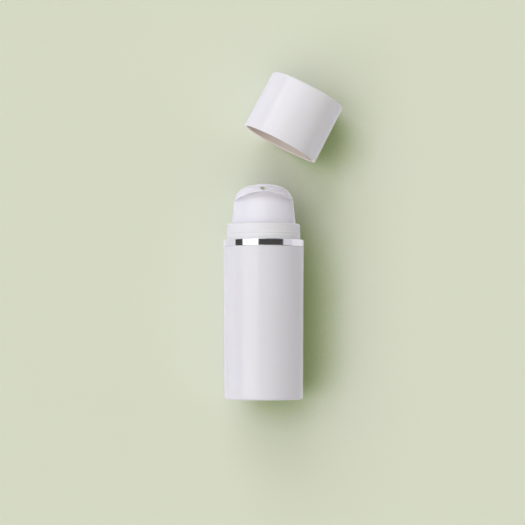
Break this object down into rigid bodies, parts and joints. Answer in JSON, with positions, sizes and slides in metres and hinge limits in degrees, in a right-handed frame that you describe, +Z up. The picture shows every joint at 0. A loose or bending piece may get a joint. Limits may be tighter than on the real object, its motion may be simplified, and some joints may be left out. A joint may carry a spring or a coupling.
{
  "type": "airless pump bottle",
  "caption": "Cylindrical airless pump bottle lying on its side, with a press head, a bright ring, a climbing follower, and its round cap taken off beside the head.",
  "frame": {"origin": "centre of the bottle's base, on its axis", "axes": "+Y along the bottle's axis toward the pump head, +Z up from the table that the bottle lies on, toward the side the orifice faces, +X to the right seen from above"},
  "size_m": [0.052, 0.1437, 0.035],
  "materials": {
    "white_body": "glossy white moulded polypropylene",
    "white_trim": "satin white moulded polypropylene",
    "white_head": "satin white moulded polypropylene",
    "white_cap": "glossy white moulded polypropylene",
    "bright_ring": "bright metallised plastic",
    "natural_plastic": "natural translucent polypropylene",
    "soft_white": "soft polyethylene",
    "seal_rubber": "soft elastomer",
    "spring_steel": "drawn stainless wire"
  },
  "bodies": {
    "bottle": {"bottle_body": "white_body", "base_plug": "white_body", "silver_ring": "bright_ring", "collar": "white_trim", "neck_closure": "natural_plastic", "neck_gasket": "seal_rubber", "pump_housing": "natural_plastic", "valve_retainer": "natural_plastic", "return_spring": "spring_steel", "stem_guide": "natural_plastic"},
    "follower": {"follower_piston": "soft_white"},
    "stem": {"pump_stem": "natural_plastic", "piston_rod": "natural_plastic"},
    "piston": {"pump_piston": "soft_white"},
    "head": {"actuator": "white_head"},
    "inlet_ball": {"valve_ball": "spring_steel"},
    "cap": {"cap": "white_cap"}
  },
  "joints": [
    {"name": "pump_press", "type": "slide", "parent": "bottle", "child": "stem", "axis": [0, -1, 0], "range_m": [0, 0.0042], "stiffness_N_per_m": 800, "springref_m": -0.003, "deforming": ["return_spring"]},
    {"name": "head_swivel", "type": "hinge", "parent": "stem", "child": "head", "pos_m": [0, 0.08, 0], "axis": [0, 1, 0], "continuous": true},
    {"name": "piston_slip", "type": "slide", "parent": "stem", "child": "piston", "axis": [0, 1, 0], "range_m": [0, 0.0008]},
    {"name": "valve_lift", "type": "slide", "parent": "bottle", "child": "inlet_ball", "axis": [0, 1, 0], "range_m": [0, 0.0007]},
    {"name": "follower_rise", "type": "slide", "parent": "bottle", "child": "follower", "axis": [0, 1, 0], "range_m": [0, 0.044]},
    {"name": "cap_swing", "type": "hinge", "parent": "bottle", "child": "cap", "pos_m": [0.08976, 0.07652, 0], "axis": [0, 0, 1], "range_deg": [0, 27.6]}
  ]
}
